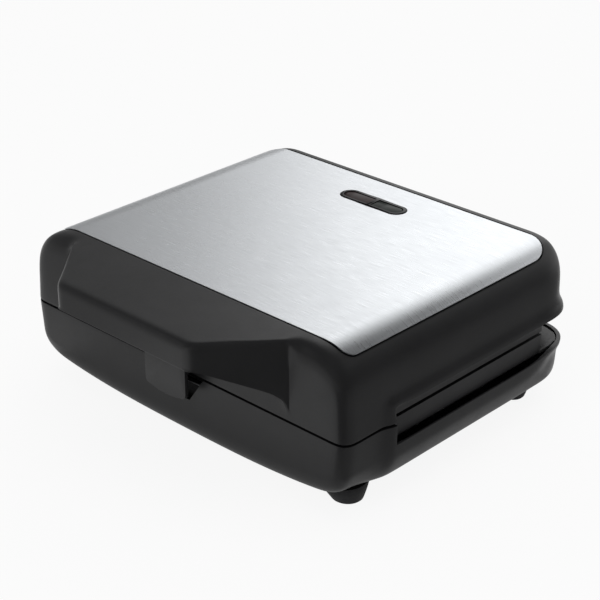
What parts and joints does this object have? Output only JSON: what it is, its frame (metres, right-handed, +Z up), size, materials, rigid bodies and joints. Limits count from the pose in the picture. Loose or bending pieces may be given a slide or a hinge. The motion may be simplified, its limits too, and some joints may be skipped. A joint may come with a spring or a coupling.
{
  "type": "sandwich and waffle maker",
  "caption": "Countertop sandwich and waffle maker with a hinged lid, hooded front handle, sprung latch, steel top panel and removable waffle plates.",
  "frame": {"origin": "middle of the footprint, on the plane that the feet stand on", "axes": "+X to the right seen from the front, +Y from the handle to the hinge, +Z up"},
  "size_m": [0.261, 0.246, 0.1006],
  "materials": {
    "black_plastic": "satin moulded black",
    "dark_plastic": "gloss black",
    "brushed_panel": "brushed left to right",
    "nonstick": "dark non-stick coating on cast aluminium",
    "small_steel": "plain steel",
    "pan_aluminium": "bright pressed sheet",
    "red_lens": "smoked red, clear gloss",
    "green_lens": "smoked green, clear gloss",
    "ceramic": "pale unglazed",
    "foot_rubber": "dull"
  },
  "bodies": {
    "base": {"base_shell": "black_plastic", "lower_inner_frame": "black_plastic", "lower_cooking_plate": "nonstick", "lower_clip_spring": "small_steel", "lower_heating_element": "small_steel", "lower_reflector": "pan_aluminium", "lower_element_cradle_a": "small_steel", "lower_element_cradle_b": "small_steel", "lower_thermal_fuse": "ceramic", "base_frame_screw_1": "small_steel", "base_frame_screw_2": "small_steel", "base_frame_screw_3": "small_steel", "base_frame_screw_4": "small_steel", "catch_bar": "small_steel", "hinge_pin_left": "small_steel", "hinge_pin_right": "small_steel", "thermostat": "pan_aluminium", "terminal_block": "ceramic", "cord_gland": "dark_plastic", "foot_front_left": "foot_rubber", "foot_front_right": "foot_rubber", "foot_rear_left": "foot_rubber", "foot_rear_right": "foot_rubber"},
    "lid": {"lid_shell": "black_plastic", "top_panel": "brushed_panel", "pilot_bezel": "dark_plastic", "power_lens": "red_lens", "ready_lens": "green_lens", "power_lamp": "red_lens", "ready_lamp": "green_lens", "lamp_holder": "ceramic", "latch_pin": "small_steel", "latch_spring": "small_steel", "upper_inner_frame": "black_plastic", "upper_cooking_plate": "nonstick", "upper_clip_spring": "small_steel", "upper_heating_element": "small_steel", "upper_reflector": "pan_aluminium", "upper_element_cradle_a": "small_steel", "upper_element_cradle_b": "small_steel", "upper_thermal_fuse": "ceramic", "lid_frame_screw_1": "small_steel", "lid_frame_screw_2": "small_steel", "lid_frame_screw_3": "small_steel", "lid_frame_screw_4": "small_steel"},
    "latch": {"latch_flap": "black_plastic"},
    "lower_clip": {"lower_plate_clip": "dark_plastic"},
    "upper_clip": {"upper_plate_clip": "dark_plastic"}
  },
  "joints": [
    {"name": "lid_hinge", "type": "hinge", "parent": "base", "child": "lid", "pos_m": [0, 0.115, 0.053], "axis": [-1, 0, 0], "range_deg": [0, 100]},
    {"name": "latch_hinge", "type": "hinge", "parent": "lid", "child": "latch", "pos_m": [0, -0.09125, 0.077], "axis": [-1, 0, 0], "range_deg": [0, 15], "stiffness_Nm_per_rad": 0.08, "springref_deg": -5.73},
    {"name": "lower_clip_slide", "type": "slide", "parent": "base", "child": "lower_clip", "axis": [0, -1, 0], "range_m": [0, 0.004], "stiffness_N_per_m": 300, "springref_m": -0.002, "deforming": ["lower_clip_spring"]},
    {"name": "upper_clip_slide", "type": "slide", "parent": "lid", "child": "upper_clip", "axis": [0, -1, 0], "range_m": [0, 0.004], "stiffness_N_per_m": 300, "springref_m": -0.002, "deforming": ["upper_clip_spring"]}
  ]
}
